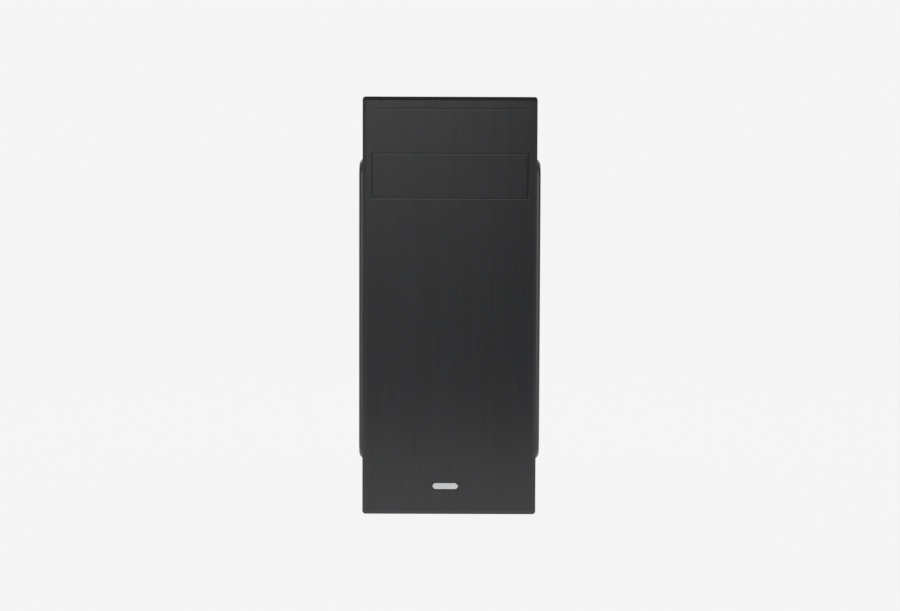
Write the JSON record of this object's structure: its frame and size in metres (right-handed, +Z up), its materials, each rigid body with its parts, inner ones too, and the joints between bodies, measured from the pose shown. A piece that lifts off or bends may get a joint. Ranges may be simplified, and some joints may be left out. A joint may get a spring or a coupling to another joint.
{
  "type": "desktop computer tower",
  "caption": "Desktop computer tower with a plain brushed dark front, a blank drive bay cover, raised side panels, low feet, rear ports and a complete interior.",
  "frame": {"origin": "middle of the footprint, on the surface that the tower stands on", "axes": "+Z up, front faces -Y, rear +Y; +X is the motherboard side, on the viewer's right"},
  "size_m": [0.18, 0.36, 0.4034],
  "materials": {
    "bezel_plastic": "dark grey moulded plastic with a fine upright brushed texture",
    "black_paint": "semi-gloss black paint on steel sheet",
    "black_plastic": "satin black moulded plastic",
    "zinc_steel": "bare galvanised steel sheet",
    "nickel": "nickel-plated steel",
    "aluminium": "bare satin aluminium",
    "rubber": "matt black rubber",
    "circuit_green": "green solder mask on glass-fibre board",
    "socket_ivory": "ivory nylon",
    "slot_blue": "blue moulded plastic",
    "cable_black": "black cable jacket",
    "cable_red": "red cable jacket",
    "led_lens": "clear light pipe"
  },
  "bodies": {
    "chassis": {"front_bezel": "bezel_plastic", "chassis_roof": "black_paint", "audio_jacks": "black_plastic", "case_fan_frame": "black_plastic", "cpu_fan_frame": "black_plastic", "psu_fan_frame": "black_plastic", "mains_inlet": "black_plastic", "card_slot": "black_plastic", "audio_stack": "black_plastic", "chassis_base": "zinc_steel", "front_plate": "zinc_steel", "rear_panel": "zinc_steel", "slot_cover_plate": "zinc_steel", "motherboard_tray": "zinc_steel", "drive_bay_bracket": "zinc_steel", "hard_drive_cage": "zinc_steel", "psu_base": "zinc_steel", "psu_cover": "zinc_steel", "front_usb_port_1": "nickel", "front_usb_port_2": "nickel", "processor": "nickel", "usb_stack": "nickel", "network_stack": "nickel", "io_shield": "nickel", "badge": "aluminium", "cpu_heatsink": "aluminium", "chipset_heatsink": "aluminium", "hard_drive": "aluminium", "foot_front_left": "rubber", "foot_front_right": "rubber", "foot_rear_left": "rubber", "foot_rear_right": "rubber", "front_io_board": "circuit_green", "psu_circuit": "circuit_green", "motherboard": "circuit_green", "memory_module": "circuit_green", "main_power_plug": "socket_ivory", "memory_slot_1": "slot_blue", "memory_slot_2": "slot_blue", "video_ports": "slot_blue", "main_power_cable": "cable_black", "front_panel_cable": "cable_black", "sata_cable": "cable_red", "power_light_pipe": "led_lens", "disk_light_pipe": "led_lens"},
    "bay_cover": {"bay_cover": "bezel_plastic"},
    "left_panel": {"left_side_panel": "black_paint", "thumbscrew_left_lower": "nickel", "thumbscrew_left_upper": "nickel"},
    "right_panel": {"right_side_panel": "black_paint", "thumbscrew_right_lower": "nickel", "thumbscrew_right_upper": "nickel"},
    "power_button": {"power_button": "black_plastic"},
    "reset_button": {"reset_button": "black_plastic"},
    "psu_switch": {"psu_switch_rocker": "black_plastic"},
    "case_fan_wheel": {"case_fan_rotor": "black_plastic"},
    "psu_fan_wheel": {"psu_fan_rotor": "black_plastic"},
    "cpu_fan_wheel": {"cpu_fan_rotor": "black_plastic"},
    "memory_latch_1": {"memory_latch_1": "socket_ivory"},
    "memory_latch_2": {"memory_latch_2": "socket_ivory"}
  },
  "joints": [
    {"name": "bay_cover_pull", "type": "slide", "parent": "chassis", "child": "bay_cover", "axis": [0, -1, 0], "range_m": [0, 0.04]},
    {"name": "left_panel_slide", "type": "slide", "parent": "chassis", "child": "left_panel", "axis": [0, 1, 0], "range_m": [0, 0.33]},
    {"name": "right_panel_slide", "type": "slide", "parent": "chassis", "child": "right_panel", "axis": [0, 1, 0], "range_m": [0, 0.33]},
    {"name": "power_button_press", "type": "slide", "parent": "chassis", "child": "power_button", "axis": [0, 0, -1], "range_m": [0, 0.002], "stiffness_N_per_m": 250, "springref_m": -0.002},
    {"name": "reset_button_press", "type": "slide", "parent": "chassis", "child": "reset_button", "axis": [0, 0, -1], "range_m": [0, 0.0015], "stiffness_N_per_m": 250, "springref_m": -0.002},
    {"name": "psu_switch_rock", "type": "hinge", "parent": "chassis", "child": "psu_switch", "pos_m": [0.042, 0.1635, 0.3413], "axis": [0, 0, 1], "range_deg": [-20, 0]},
    {"name": "case_fan_spin", "type": "hinge", "parent": "chassis", "child": "case_fan_wheel", "pos_m": [-0.031, 0.156, 0.245], "axis": [0, 1, 0], "continuous": true},
    {"name": "psu_fan_spin", "type": "hinge", "parent": "chassis", "child": "psu_fan_wheel", "pos_m": [-0.03, 0.155, 0.3553], "axis": [0, 1, 0], "continuous": true},
    {"name": "cpu_fan_spin", "type": "hinge", "parent": "chassis", "child": "cpu_fan_wheel", "pos_m": [0.009, 0.1, 0.235], "axis": [1, 0, 0], "continuous": true},
    {"name": "memory_latch_1_swing", "type": "hinge", "parent": "chassis", "child": "memory_latch_1", "pos_m": [0.0625, 0.038, 0.2956], "axis": [0, 1, 0], "range_deg": [0, 35]},
    {"name": "memory_latch_2_swing", "type": "hinge", "parent": "chassis", "child": "memory_latch_2", "pos_m": [0.0625, 0.028, 0.2956], "axis": [0, 1, 0], "range_deg": [0, 35]}
  ]
}
